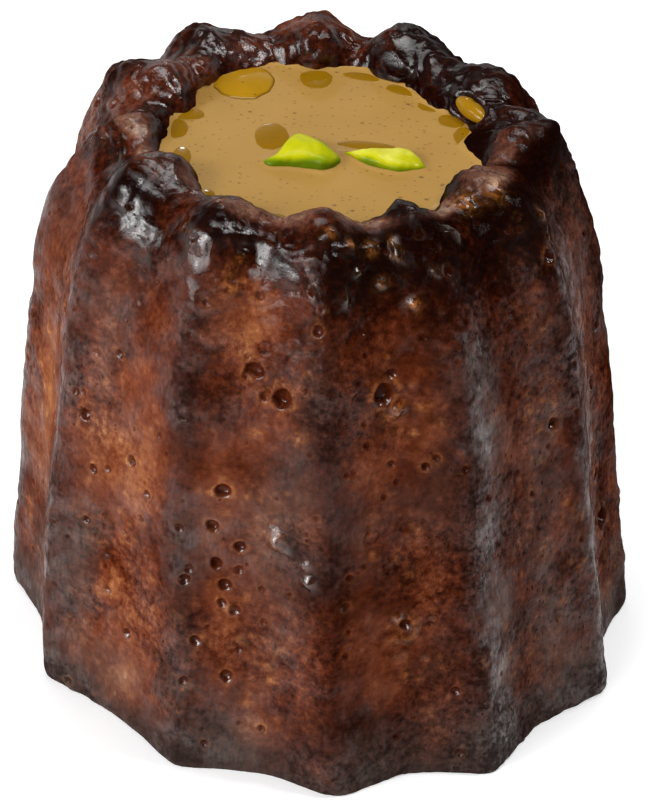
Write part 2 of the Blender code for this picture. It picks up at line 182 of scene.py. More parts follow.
# Patches of grey painted in, a painted sheen for the glaze's grey veil; and patches of darker and
# paler crust, partly its own burning and partly painted shade on the sides away from the lamps:
# ridge number, place, radius in millimetres, strength
GREY_SHEEN_PATCHES = [
    (10.1, 2.6, 4.5, 0.5), (11.08, 4.2, 3, 0.5), (11.08, 3.4, 2.5, 0.3), (1.15, 5, 2.2, 0.5),
    (1.15, 4.2, 2.2, 0.5), (1.15, 3.4, 2.2, 0.5), (1.15, 2.6, 2.2, 0.5), (1.15, 1.8, 2.6, 0.5),
    (10.6, 4.2, 3, -0.4), (11.5, 4.4, 4.5, -0.6), (0.5, 4.4, 4.5, -0.5), (0.5, 3, 4, -0.3),
    (11.4, 2.6, 3.5, -0.4), (10.6, 2.4, 2.5, -0.4), (11.5, 1.2, 3, 0.3), (9.6, 3.4, 3, -0.3),
]
TONE_AND_SHADE_PATCHES = [
    (0.45, 6.8, 7, 0.2), (1.4, 6.3, 8, 0.22), (0.08, 4.6, 3, 0.45), (0.06, 3, 3, 0.45),
    (0.06, 1.6, 3, 0.45), (11, 8.4, 3.4, 0.3), (10, 8, 4, 0.35), (4.6, 9.5, 6, -0.15),
    (6, 9.5, 6, -0.12), (0.6, 2.2, 5, 0.14), (10.6, 4.6, 2.4, -0.14), (10.6, 3.5, 2.4, -0.1),
    (10.6, 5.3, 3, 0.08), (2.3, 4, 9, 0.1), (1.05, 3, 5, 0.2), (0.5, 1.6, 4, 0.28),
    (1.1, 1.3, 4, 0.22), (11.5, 6.2, 4, -0.12), (1.5, 4.9, 6, 0.08), (1.5, 2.6, 6, 0.14),
    (0.45, 2.6, 3.5, 0.16), (11.3, 5.4, 4, -0.04), (11.55, 4.2, 3.6, 0.16), (11.55, 3.2, 3, 0.06),
    (11.08, 4.6, 2, 0.16), (11.05, 5.6, 2.4, 0.12), (10.3, 0.8, 3, 0.14), (11.3, 2, 3, -0.04),
    (9.5, 3.5, 5, -0.16), (10.6, 1.6, 3, -0.1), (0.5, 3.6, 5, 0.08), (11.05, 3, 3, 0.12),
    (11, 4.6, 3, 0.2), (11.95, 5.2, 3, 0.15), (11.8, 3.2, 1.6, 0.25), (11.98, 3.1, 1.2, 0.35),
    (10.3, 2.6, 3, 0.1), (10.4, 5.9, 4, 0.12),
]
# Where the glaze is satin: up the edges of ridges as ridge number, half width in ridge numbers
# and strength; and one spot as ridge number, place, radius in millimetres, strength
SHEEN_BANDS = [
    (1.12, 0.14, 0.34), (2.3, 0.22, 0.16), (2, 0.07, 0.26), (10, 0.1, 0.12), (9, 0.1, 0.32),
    (11, 0.08, 0.05), (1.75, 0.2, 0.08),
]
SHEEN_SPOT = (10.98, 4.5, 2.0, 0.25)

# ---------- The slivers of pistachio, in millimetres: x, y, half width, top above the cream
SLIVER_LEFT = [
    (-7.4, -3.9, 0.35, 0.35), (-7, -4.1, 0.6, 0.7), (-6.2, -3.85, 0.85, 0.95),
    (-5.6, -2.95, 1.6, 1.15), (-5, -2.45, 2, 1.3), (-4.2, -2.4, 2.05, 1.4),
    (-3.4, -2.65, 1.95, 1.4), (-2.5, -3.2, 1.6, 1.4), (-1.7, -3.35, 1.05, 1.2),
    (-1.1, -3.1, 0.4, 0.75),
]
SLIVER_RIGHT = [
    (-0.95, -1.6, 0.22, 0.35), (-0.1, -2, 0.4, 0.65), (0.65, -2.3, 0.7, 0.85),
    (1.75, -2.45, 1.05, 1), (3, -2.5, 1.4, 1), (4.1, -2.4, 1.6, 0.95), (5.2, -2.6, 1.05, 0.75),
    (5.85, -2.95, 0.4, 0.45),
]
SUNK = 0.8 * MM  # how deep their undersides lie in the cream

# Oil on the cream, in millimetres: x, y, half sizes along x and y, turn in degrees, height
OIL_DROPS = [
    (-9.85, 8.95, 2.75, 3.15, 0, 0.3), (-3.7, 10.3, 1.45, 1.7, 0, 0.05),
    (-6.9, 0.35, 1.5, 2.3, 0, 0.05), (1, -0.1, 2.6, 0.75, -4, 0.05),
    (0.2, 11.2, 1.7, 0.7, -8, 0.05), (3.9, 9.5, 1.7, 1, -14, 0.05),
    (6.2, 7.3, 1.2, 1.3, -30, 0.05), (7.9, 5, 1.2, 1.2, -20, 0.05), (9, 2.5, 1, 1.6, 0, 0.05),
    (-14, 2.9, 1.4, 1.1, 10, 0.06), (-14.7, 0.4, 0.9, 1.6, 0, 0.06), (-14, -4, 0.8, 1.7, 0, 0.06),
    (-11.5, -9.4, 0.65, 0.75, 30, 0.06), (-6.3, -12.4, 1.4, 0.75, 12, 0.06),
]
# A bead of oil caught in the rim: its ends, and its half width in millimetres
BEAD_START, BEAD_END = np.array((8.35, 6.9, 47.85)) * MM, np.array((10.65, 3.6, 47.75)) * MM
BEAD_HALF = 0.85
THICK_DROP = 0.2  # millimetres: a lower drop is pale all over, as at a drop's edge
THIN_OIL, BEAD_OIL = 0.94, 0.92  # how near to its edge such a drop counts, and the bead

# ---------- Colours, and lights
BROWNS = [  # how dark, from burning and painted shade, and the crust's colour there
    (0.0, (0.36, 0.16, 0.06)), (0.144, (0.23, 0.077, 0.029)),
    (0.336, (0.132, 0.0325, 0.0125)), (0.512, (0.07, 0.0136, 0.0045)),
    (0.672, (0.032, 0.0056, 0.0017)), (0.8, (0.015, 0.0026, 0.0009)),
    (1.0, (0.0055, 0.0012, 0.0007)),
]
GREYS = [  # the same where grey sheen is painted in
    (0.05, (0.21, 0.155, 0.12)), (0.2, (0.115, 0.072, 0.054)), (0.34, (0.078, 0.046, 0.035)),
    (0.52, (0.048, 0.031, 0.025)), (0.8, (0.022, 0.014, 0.012)),
]
AMBER = (0.34, 0.12, 0.016)
# Sunken marks: partly their own dark colour, partly painted shade
MARK_BROWN_AND_SHADE = (0.02, 0.0038, 0.0011)
# Inside the pits: partly deeper caramel, partly painted shade
PIT_BROWN_AND_SHADE = (0.052, 0.008, 0.0018)
CREAM_LIGHT, CREAM_DARK = (0.375, 0.212, 0.05), (0.31, 0.168, 0.036)
CREAM_SPECK, CREAM_DOT = (0.14, 0.075, 0.02), (0.075, 0.042, 0.02)
GREENS = [  # how much skin, and the nut's colour there
    (0.02, (0.63, 0.61, 0.088)), (0.26, (0.45, 0.435, 0.006)), (0.42, (0.35, 0.36, 0.001)),
    (0.62, (0.21, 0.27, 0.001)), (0.95, (0.1, 0.16, 0.002)),
]
OIL_DARK, OIL_LIGHT = (0.305, 0.15, 0.0035), (0.4, 0.21, 0.006)
OIL_THIN, OIL_SPECK = (0.14, 0.062, 0.0004), (0.05, 0.02, 0.004)
LIGHTS = [  # name, place, the height that it points at, width and height in metres, watts
    ("key", (-0.3, -0.24, 0.24), 0.03, (0.08, 0.08), 0.5),
    ("window", (-0.258, -0.24, 0.187), 0.045, (0.44, 0.2), 1.5),
    ("glint", (0.22, -0.02, 0.38), 0.03, (0.05, 0.08), 0.6),
    ("top", (0, 0.08, 0.46), 0.04, (0.3, 0.2), 1.1),
    ("rear", (-0.0388, 0.4218, 0.226), 0.047, (0.028, 0.028), 0.06),
]


def ease(x):
    """Goes smoothly from 0 to 1 as x does, and stays there."""
    x = np.clip(x, 0, 1)
    return x * x * (3 - 2 * x)


def band(x, low, high, soft):
    """1 between two values, easing off to 0 inside each end."""
    return ease((x - low) / soft) * ease((high - x) / soft)


def bell(x):
    """1 where x is 0, and next to nothing where it is past 2 either way."""
    return np.exp(-(x**2))


def length(vectors):
    return np.linalg.norm(vectors, axis=-1)


def between(a, b, c, d, share):
    """A point between b and c, on the smooth curve through all four."""
    return 0.5 * (2 * b + (c - a) * share + (2 * a - 5 * b + 4 * c - d) * share**2
                  + (3 * b - a - 3 * c + d) * share**3)


def along(points, place):
    """The smooth curve through an outline's points, at a place counted in points."""
    p = np.asarray(points, float) * MM
    last = len(p) - 1
    place = np.clip(place, 0, last - 1e-9)
    i = np.floor(place).astype(int)
    a, b, c, d = (p[np.clip(i + k, 0, last)] for k in (-1, 0, 1, 2))
    return between(a, b, c, d, (place - i)[..., None])


def round_the_ring(column, ridge):
    """One of the strays, eased from each ridge to the next."""
    values = np.array(STRAYS)[:, column]
    k = np.floor(ridge).astype(int)
    f = ease(ridge - k)
    return values[k % RIDGES] * (1 - f) + values[(k + 1) % RIDGES] * f


def ridge_share(ridge):
    """1 along a ridge's edge, 0 at the bottom of a flute."""
    across = 2 * np.abs(ridge - np.round(ridge))
    edge = (np.sqrt(across**2 + RIDGE_EDGE**2) - RIDGE_EDGE) / (
        math.sqrt(1 + RIDGE_EDGE**2) - RIDGE_EDGE)
    return (1 - edge) ** FLUTE_CURVE


def moulded(ridge, place):
    """A point of the smooth body, by ridge number and place in the outline."""
    lobe = 0.5 + 0.5 * np.cos(2 * math.pi * (ridge - np.round(ridge)))
    rim = ease((place - WALL_TOP - 0.5) / 2.5)
    share = (ridge_share(ridge) * (1 - rim) + lobe * rim)[..., None]
    outline = along(RIDGE_LINE, place) * share + along(FLUTE_LINE, place) * (1 - share)
    out = lobe * ease((place - SHOULDER + 1) / 2) * ease((DISH_WALL - place) / 2)
    radius = outline[..., 0] + round_the_ring(2, ridge) * MM * out
    height = outline[..., 1] + round_the_ring(3, ridge) * MM * out
    rise = np.clip(height / HEIGHT, 0, None)
    stray = round_the_ring(0, ridge) * (1 - rise) + round_the_ring(1, ridge) * rise
    turn = FIRST_RIDGE + np.radians(stray) + 2 * math.pi * ridge / RIDGES
    lean = LEAN_X * rise**LEAN_BEND
    return np.stack([radius * np.sin(turn) + lean, -radius * np.cos(turn), height], -1)


def facing(ridge, place):
    """The smooth body's outward normal."""
    step = 0.02
    along_ring = moulded(ridge + step, place) - moulded(ridge - step, place)
    up = moulded(ridge, place + step) - moulded(ridge, place - step)
    normal = np.cross(along_ring, up)
    return normal / np.maximum(length(normal)[..., None], 1e-12)


def wander(points, wave, shift=0):
    """Smooth noise of one wavelength in millimetres, about -1 to 1, at each point."""
    flat = (points / (wave * MM) + shift).reshape(-1, 3).tolist()
    return np.array([noise.noise(p) for p in flat]).reshape(points.shape[:-1])


def wander_vector(points, wave):
    """Three such noises, one along each axis."""
    return np.stack([wander(points, wave, shift) for shift in (0, 150, 300)], -1)


def unevenness(points, place):
    """How far the crust stands out of the smooth body, as the solid has it."""
    rim = ease((place - WALL_TOP) / RIM_SOFT)
    height = np.zeros(points.shape[:-1])
    for wave, on_wall, on_rim in SWELLS:
        height += wander(points, wave) * (on_wall * MM * (1 - rim) + on_rim * MM * rim)
    for ridge, spot, radius, rise in KNOBS:
        away = length(points - point_at(moulded, ridge, spot))
        height += rise * MM * bell(away / (radius * MM))
    fade = ease(place / 0.5) * ease((DISH_WALL + 1 - place) / 1.5)
    return height * fade


def crust_point(ridge, place):
    """A point of the uneven crust."""
    points = moulded(ridge, place)
    normals = facing(ridge, np.clip(place, *NORMAL_PLACES))
    return points + normals * unevenness(points, place)[..., None]


def point_at(surface, ridge, place):
    """One point of a surface, moulded or crust_point."""
    return surface(np.array([float(ridge)]), np.array([float(place)]))[0]


# ---------- Meshes
def mesh_from_rings(name, rings, first, last):
    """A closed mesh from rings of points, one array of rings by columns, capped by two points."""
    count, columns = rings.shape[:2]
    col = np.arange(columns)
    nxt = (col + 1) % columns
    row = np.arange(count - 1)[:, None] * columns
    quads = np.stack([row + col, row + nxt, row + nxt + columns, row + col + columns], -1)
    faces = [tuple(q) for q in quads.reshape(-1, 4).tolist()]
    tip, top = count * columns, (count - 1) * columns
    faces += [(tip, int(nxt[k]), k) for k in range(columns)]
    faces += [(tip + 1, top + k, top + int(nxt[k])) for k in range(columns)]
    mesh = bpy.data.meshes.new(name)
    mesh.from_pydata(np.vstack([rings.reshape(-1, 3), [first], [last]]).tolist(), [], faces)
    mesh.shade_smooth()
    return mesh


def add_attribute(mesh, name, values):
    """A number for each vertex, which the materials read by name."""
    full = np.zeros(len(mesh.vertices), np.float32)
    full[: len(values)] = values
    attribute = mesh.attributes.new(name, "FLOAT", "POINT")
    attribute.data.foreach_set("value", full)


def place_piece(name, mesh, mat, stands_for=None):
    """Puts a finished mesh in the scene as a piece that rides on the one body."""
    piece = bpy.data.objects.new(name, mesh)
    scene.collection.objects.link(piece)
    mesh.materials.append(mat)
    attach(piece, "root")
    if stands_for:
        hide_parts(stands_for)
    return piece


def row_places():
    """Places in the outline, an even step apart from the base's edge to below the cream."""
    fine = np.linspace(BASE_EDGE, LAST_PLACE, 4000)
    line = along(RIDGE_LINE, fine)
    run = np.concatenate([[0], np.cumsum(length(np.diff(line, axis=0)))])
    return np.interp(np.linspace(0, run[-1], int(run[-1] / ROW_STEP)), run, fine)


def large_pits():
    """Ridge number, place and radius of every pit that the solid has."""
    rng = random.Random(PIT_SEED)
    pits = [(ridge, place, radius * MM) for ridge, place, radius in FRONT_PITS]
    points = [point_at(crust_point, ridge, place) for ridge, place, _ in pits]
    while len(pits) < PITS:
        ridge = rng.uniform(FRONT_SIDE[1], RIDGES + FRONT_SIDE[0])
        place, mouth = rng.uniform(1.3, SHOULDER - 1), rng.uniform(*PIT_MOUTH)
        point = point_at(crust_point, ridge, place)
        if all(length(point - other) > PIT_SPACING for other in points):
            pits.append((ridge, place, mouth))
            points.append(point)
    return pits


def all_pits(rng):
    """Every pit of the crust: ridge number, place, radius, depth."""
    pits = [(ridge, place, radius, 0.85 * radius) for ridge, place, radius in large_pits()]
    pits += [(ridge, place, radius * MM, 0.7 * radius * MM)
             for ridge, place, radius in SMALL_FRONT_PITS]
    for count, low, high, depth in SMALL_PITS:
        for _ in range(count):
            radius = (low + (high - low) * rng.random() ** 1.6) * MM
            pits.append((rng.uniform(0, RIDGES), rng.triangular(0.9, 8.5, 3), radius,
                         radius * depth * rng.uniform(0.6, 1.15)))
    return pits


class Sheet:
    """The crust as a grid of points, a row for each place and a column for each ridge number.

    Its fields say how far each point stands out, and where creases, dark outlines (painted shade
    in the creases round bubbles, and dark rings round blisters), the insides of pits, amber skins
    and wet spots are. Across, deep and tall are in millimetres.
    """

    def __init__(self, places, columns):
        self.columns = columns
        self.ridge, self.place = np.meshgrid(np.arange(columns) * RIDGES / columns, places)
        self.points = moulded(self.ridge, self.place)
        self.normals = facing(self.ridge, np.clip(self.place, *NORMAL_PLACES))
        self.across, self.deep, self.tall = np.moveaxis(self.points, -1, 0) / MM
        self.bent = self.points + WARP[1] * MM * wander_vector(self.points, WARP[0])
        self.rim = ease((self.place - WALL_TOP) / RIM_SOFT)
        self.shoulder = self.rim * ease(0.3 - self.across / 16)
        self.crinkled = ease(0.22 + 1.3 * wander(self.points, 8, 21)
                             + 0.55 * ease(0.3 + self.across / 22))
        self.relief, self.creases, self.burn, self.inside, self.glow, self.wet = (
            np.zeros_like(self.place) for _ in range(6))

    def near(self, ridge, place, reach):
        """The rows and columns that may lie within reach of a spot, how far, and how far below."""
        centre = point_at(moulded, ridge, place)
        width = int(reach / (2 * math.pi * NARROWEST / self.columns)) + 2
        middle = int(ridge / RIDGES * self.columns)
        cols = np.arange(middle - width, middle + width + 1) % self.columns
        line = self.points[:, middle % self.columns]
        rows = np.nonzero(length(line - centre) < reach * 1.3 + 1 * MM)[0]
        window = np.ix_(rows, cols)
        away = self.points[window] - centre
        return window, length(away), -away[..., 2]

    def add_patches(self, field, patches):
        """Adds soft round patches to a field: ridge number, place, radius in mm and strength."""
        for ridge, place, radius, strength in patches:
            window, away, _ = self.near(ridge, place, 2.2 * radius * MM)
            field[window] += strength * bell(away / (radius * MM))


def lift(field, window, values):
    """Raises a field to the values given, where it is lower."""
    field[window] = np.maximum(field[window], values)


def wrinkle(sheet):
    """Pebbled lumps with creases between them, and a finer grain."""
    calm = 1 - 0.25 * sheet.shoulder * ease(0.5 - sheet.deep / 10)

    def height(*heights):
        smooth, rough, on_rim = (h * MM for h in heights)
        wall = smooth + (rough - smooth) * sheet.crinkled
        return wall * (1 - sheet.rim) + on_rim * sheet.rim * calm

    for wave, *heights in PEBBLES:
        humps = np.abs(wander(sheet.bent, wave, 3.7))
        sheet.relief += (humps - 0.2) * height(*heights)
        # Crease lines and the humps between them, for the painted shade in the crust's colour
        sheet.creases += 0.5 * bell(humps / 0.06) - 0.5 * ease(humps / 0.5)
    wave, *heights = GRAIN
    sheet.relief += wander(sheet.bent, wave, 13.7) * height(*heights)


def raise_bubbles(sheet, rng):
    """Thin-skinned bubbles, low domes with a crease round them painted dark: painted shade."""
    bubbles = [(r, p, radius * MM) for r, p, radius in BUBBLES]
    while len(bubbles) < BUBBLE_COUNT:
        bubbles.append((rng.uniform(0, 10.2), rng.triangular(0.8, 7.5, 3.2),
                        rng.uniform(0.22, 0.6) * MM))
    for ridge, place, radius in bubbles:
        window, away, below = sheet.near(ridge, place, 2.2 * radius)
        away = away / radius * (1 + 0.45 * wander(sheet.points[window], 0.9, 17))
        broken = 0.5 + 0.9 * wander(sheet.points[window], 0.7, 23)
        crease = bell((away - 1) / 0.15) * np.clip(broken, 0, 1)
        dome = ease(1 - away) * rng.uniform(-0.08, 0.06)
        sheet.relief[window] += dome * radius - crease * 0.12 * MM
        # The crease painted dark: painted shade
        sheet.burn[window] += crease * rng.uniform(0.15, 0.5)
        shine = ease(2.4 * below / radius - 0.9) * ease((1.1 - away) / 0.3)
        lift(sheet.wet, window, shine * rng.uniform(0, 0.25))


def raise_blisters(sheet, rng):
    """Small thin-skinned blisters that let amber through, in clusters, and the wet lumps."""
    spots = [(r, p, radius * MM, height * MM, amber, 1 - 0.35 * amber)
             for r, p, radius, height, amber in LUMPS]
    clusters = list(FRONT_BLISTERS)
    while len(clusters) < BLISTER_CLUSTERS:
        clusters.append((rng.uniform(1.7, 10), rng.triangular(0.8, 6.8, 2.4)))
    for ridge, place in clusters:
        for _ in range(rng.randint(3, 8)):
            radius = rng.uniform(0.25, 0.6) * MM
            spots.append((ridge + rng.gauss(0, 0.13), place + rng.gauss(0, 0.24), radius,
                          radius * rng.uniform(0, 0.22), rng.uniform(0.2, 0.8),
                          rng.uniform(0, 0.25)))
    for n, (ridge, place, radius, height, amber, shine) in enumerate(spots):
        window, away, _ = sheet.near(ridge, place, 2.6 * radius)
        ragged = 0.4 if n < len(LUMPS) else 0.9
        away = away / radius * (1 + ragged * wander(sheet.points[window], 0.9, 31))
        dome = bell(away)
        uneven = 1 + 0.5 * wander(sheet.points[window], 0.6, 35)
        sheet.relief[window] += height * dome * uneven
        # A dark ring round each blister's foot
        sheet.burn[window] += 0.3 * bell((away - 1.25) / 0.22) * rng.uniform(0.2, 1)
        lift(sheet.glow, window, dome * amber)
        lift(sheet.wet, window, dome * shine)


def sink_pits(sheet, rng):
    """Sinks each pit into the relief: steep walls, a rounded floor, a low lip and a pale ring."""
    wobble = 1 + 0.42 * wander(sheet.points, 1.1, 5.1)
    for ridge, place, radius, depth in all_pits(rng):
        window, away, below = sheet.near(ridge, place, 2.4 * radius)
        away = away / (1.12 * radius) * wobble[window]
        bowl, lip = ease((1 - away) / 0.45), bell((away - 1.15) / 0.2) * 0.1
        sheet.relief[window] += depth * (lip - bowl)
        # How far inside the pit; the crust's colour is painted darker there, partly painted shade
        dark = ease((1.05 - away) / 0.35) * ease(depth / radius - 0.1)
        lift(sheet.inside, window, dark * min(1, depth / (0.13 * MM)))
        ring = bell((away - 1.28) / 0.22) * min(1, radius / (0.4 * MM))
        ring *= ease(2 * depth / radius - 0.3) * rng.uniform(0.1, 0.7)
        lift(sheet.glow, window, ring)
        shine = ease(2.4 * below / radius - 0.8) * ease((1.25 - away) / 0.3)
        shine *= rng.uniform(0.3, 1) * ease(radius / (0.25 * MM) - 0.8)
        lift(sheet.wet, window, shine * ease(3 * depth / radius - 0.8))


def cup_the_bead(sheet):
    """A wet lip of crust round the bead of oil."""
    line = BEAD_END - BEAD_START
    share = np.clip((sheet.points - BEAD_START) @ line / (line @ line), 0.25, 0.75)
    away = length(sheet.points - BEAD_START - share[..., None] * line)
    lip = bell((away - (BEAD_HALF + 0.25) * MM) / (0.35 * MM))
    sheet.relief += 0.3 * MM * lip
    lift(sheet.wet, ..., 0.4 * lip)


def burn_crust(sheet):
    """How dark the crust is, from 0 for amber to 1 for black: its burning and painted shade."""
    points, rim, across, crinkled = sheet.points, sheet.rim, sheet.across, sheet.crinkled
    tone = 0.16 * wander(points, 11, 40) + 0.14 * wander(points, 6.5, 57)
    tone += (0.16 + 0.29 * rim) * wander(sheet.bent, 3.5, 50)
    tone += 0.2 * wander(points * UPRIGHT, 2.6, 44)
    tone = 0.45 + tone * (1 - 0.35 * ease(-across / 12) * (1 - rim))
    # A little darker where crinkled; darker in the creases and paler on the humps: painted shade
    tone += 0.06 * crinkled + 0.22 * sheet.creases * (0.25 + 0.75 * crinkled)
    # Dark outlines: painted shade in the bubbles' creases, and dark rings round the blisters
    tone += np.minimum(sheet.burn, 0.5)
    # Darker up the rim, more so on the right, and the wall darker on the right: partly its own
    # burning, partly painted shade on the side away from the lamps
    tone += ease((sheet.place - 5.4) / 2.4) * (0.36 + 0.42 * ease(0.6 + across / 14))
    tone += 0.12 * ease(across / 16) * (1 - rim)
    tone += (0.3 * ridge_share(sheet.ridge) ** 2 - 0.03) * (1 - rim) + 0.07
    tone += 0.3 * (1 - ease(sheet.tall / 4.5 + 0.35 * wander(points, 5, 33)))
    # Patches of darker and paler crust: partly its own burning, partly painted shade
    sheet.add_patches(tone, TONE_AND_SHADE_PATCHES)
    darkest = 0.75 + 0.45 * rim
    return np.where(tone > darkest, darkest + 0.35 * (tone - darkest), tone)


def paint_crest_sheen(sheet):
    """Painted sheen: pale grey painted on the rim's crest at the front, for the glaze's
    reflection.
    """
    crest_sheen = band(sheet.place, 8.3, 10.6, 0.7) * ease(0.5 - sheet.deep / 12)
    return crest_sheen * ease(0.55 + wander(sheet.points, 2.5, 12))


def paint_grey_sheen(sheet):
    """How much grey sheen is painted in: at the crust's foot, and in patches up the wall."""
    grey_sheen = 1 - ease(sheet.tall / 9 + 0.4 * wander(sheet.points, 5, 90)
                   - 0.1 * ease(sheet.across / 12))
    # Patches of painted grey sheen up the wall
    grey_patches = 0.18 + 0.8 * wander(sheet.points * UPRIGHT, 5.5, 99)
    sheet.add_patches(grey_patches, GREY_SHEEN_PATCHES)
    return np.maximum(grey_sheen, 0.85 * ease(grey_patches) * (1 - sheet.rim))


def satin_crust(sheet, grey_sheen):
    """How satin the wall's glaze is: most on the left and up the edges of some ridges."""
    left = ease(0.5 - sheet.across / 24)
    right = ease(sheet.across / 10 - 0.8)
    satin = 0.025 + 0.1 * left + 0.02 * right
    satin *= 1 + 1.6 * wander(sheet.points, 5, 61)
    ragged = 1 + 0.8 * wander(sheet.points, 3, 66)
    for ridge, half_width, strength in SHEEN_BANDS:
        turn = (sheet.ridge - ridge + RIDGES / 2) % RIDGES - RIDGES / 2
        satin += strength * bell(turn / half_width) * (1 - sheet.rim) * ragged
    satin = np.clip(satin + 0.05 * grey_sheen, 0, 1)
    satin *= (1 - 0.9 * sheet.inside) * (1 - 0.8 * np.clip(sheet.burn, 0, 1))
    sheet.add_patches(satin, [SHEEN_SPOT])
    return satin


def glaze_crust(sheet, crest_sheen):
    """How glazed the rim is: its left shoulder in patches, its crest, its inside in spangles."""
    points, place, shoulder = sheet.points, sheet.place, sheet.shoulder
    patchy = ease(0.5 + 1.3 * wander(points, 2.6, 84) + 0.7 * wander(points, 0.9, 85))
    outer = 0.62 * shoulder * band(place, 5.4, 8.7, 0.8) * patchy
    crest = 0.48 * band(place, 8.4, 11, 0.6) * np.maximum(shoulder, 0.5)
    within = ease((place - CREST - 0.2) / 0.8) * ease(sheet.deep / 6 - 0.2)
    within *= 0.6 * ease(0.3 + 1.8 * wander(points, 1.1, 73))
    glaze = np.maximum(np.maximum(outer, crest) * (1 - 0.6 * crest_sheen), within)
    return glaze * (1 - 0.9 * sheet.inside)


def make_crust(mat):
    """The whole baked body: one closed mesh, from the middle of the underside to the dish."""
    sheet = Sheet(row_places(), COLUMNS)
    wrinkle(sheet)
    raise_bubbles(sheet, random.Random(BUBBLE_SEED))
    raise_blisters(sheet, random.Random(BLISTER_SEED))
    sink_pits(sheet, random.Random(SMALL_SEED))
    cup_the_bead(sheet)
    edge = ease(sheet.place / 0.12) * ease((LAST_PLACE - sheet.place) / 0.5)
    height = unevenness(sheet.points, sheet.place) + sheet.relief * edge
    body = sheet.points + sheet.normals * height[..., None]
    body[..., 2] = np.maximum(body[..., 2], 0)
    base = np.stack([body[0] * np.array([s, s, 0]) for s in BASE_RINGS])
    middle = point_at(moulded, 0, len(RIDGE_LINE) - 1)
    mesh = mesh_from_rings("crust", np.concatenate([base, body]), (0, 0, 0), middle)

    # The crest's painted sheen: greyer and paler crust there, and less glaze
    crest_sheen = paint_crest_sheen(sheet)
    grey_sheen = np.maximum(paint_grey_sheen(sheet), crest_sheen)
    fields = {  # each with its value on the underside
        "burnt": (burn_crust(sheet) * (1 - 0.85 * crest_sheen), 0.5),
        "crinkled": (np.maximum(sheet.crinkled, sheet.rim), 0.5),
        "satin": (satin_crust(sheet, grey_sheen), 0.1), "glaze": (glaze_crust(sheet, crest_sheen), 0),
        "grey_sheen": (grey_sheen, 1), "pit": (sheet.inside, 0), "glow": (sheet.glow, 0), "wet": (sheet.wet, 0),
    }
    for name, (field, under_value) in fields.items():
        under = np.full(len(BASE_RINGS) * COLUMNS, under_value)
        add_attribute(mesh, name, np.concatenate([under, field.ravel()]))
    piece = place_piece("crust", mesh, mat, "pastry")
    thin_out(piece, CRUST_TRIANGLES)
    return piece


def thin_out(piece, triangles):
    """Merges the smallest faces where the surface is flattest, down to a number of triangles."""
    thin = piece.modifiers.new("thin", "DECIMATE")
    thin.ratio = triangles / sum(len(p.vertices) - 2 for p in piece.data.polygons)
    bpy.context.view_layer.update()
    evaluated = piece.evaluated_get(bpy.context.evaluated_depsgraph_get())
    mesh = bpy.data.meshes.new_from_object(evaluated)
    piece.modifiers.clear()
    piece.data = mesh
    mesh.shade_smooth()


def cream_edges(numbers):
    """Where the cream's level meets the dish's wall, as places in the outline."""
    places = np.linspace(CREST + 0.6, LAST_PLACE, 160)
    ridge, place = np.meshgrid(numbers, places)
    above = crust_point(ridge, place)[..., 2] > CREAM_LEVEL
    last = len(places) - 1 - np.argmax(above[::-1], axis=0)
    return places[np.clip(last + 1, 0, len(places) - 1)]


def make_cream(mat):
    """The cream: a level top that creeps up at the wall and at the nuts, over the dish's shape."""
    columns = 288
    numbers = np.arange(columns) * RIDGES / columns
    edge = cream_edges(numbers)
    rim = crust_point(numbers, edge) - facing(numbers, edge) * CREAM_OVERLAP
    rim[:, 2] = CREAM_LEVEL
    centre = rim.mean(axis=0)
    shares = np.linspace(1, 0, 110)[:-1] ** 0.8
    top = centre + (rim - centre) * shares[:, None, None]
    top[..., 2] += 0.18 * MM * np.exp(-((length(top - rim) / (0.4 * MM)) ** 1.5))
    top[..., 2] += cream_swell(top)
    floors = []
    for share in np.linspace(0.93, 0.12, 8):
        floor = centre + (rim - centre) * share
        floor[:, 2] = CREAM_LEVEL - CREAM_DEPTH * (1 - share**3) ** 0.7
        floors.append(floor)
    low = (centre[0], centre[1], CREAM_LEVEL - CREAM_DEPTH)
    high = (centre[0], centre[1], top[-1, :, 2].mean())
    mesh = mesh_from_rings("cream_fill", np.concatenate([np.stack(floors[::-1]), top]), low, high)
    return place_piece("cream_fill", mesh, mat, "cream")


def cream_swell(points):
    """How far the cream stands above its level: slow waves, and a creep up each sliver."""
    swell = 0.04 * MM * wander(points * (1, 1, 0), 5, 70)
    for stations in (SLIVER_LEFT, SLIVER_RIGHT):
        away = sliver_distance(points, stations)
        swell += 0.12 * MM * np.exp(-((away / (0.3 * MM)) ** 1.3))
    return swell


def sliver_distance(points, stations):
    """How far points lie outside a sliver's plan."""
    xs, ys, halves, _ = (np.array(v) * MM for v in zip(*stations))
    x = np.clip(points[..., 0], xs[0], xs[-1])
    middle, half = np.interp(x, xs, ys), np.interp(x, xs, halves)
    across = np.clip(np.abs(points[..., 1] - middle) - half, 0, None)
    return np.hypot(points[..., 0] - x, across)


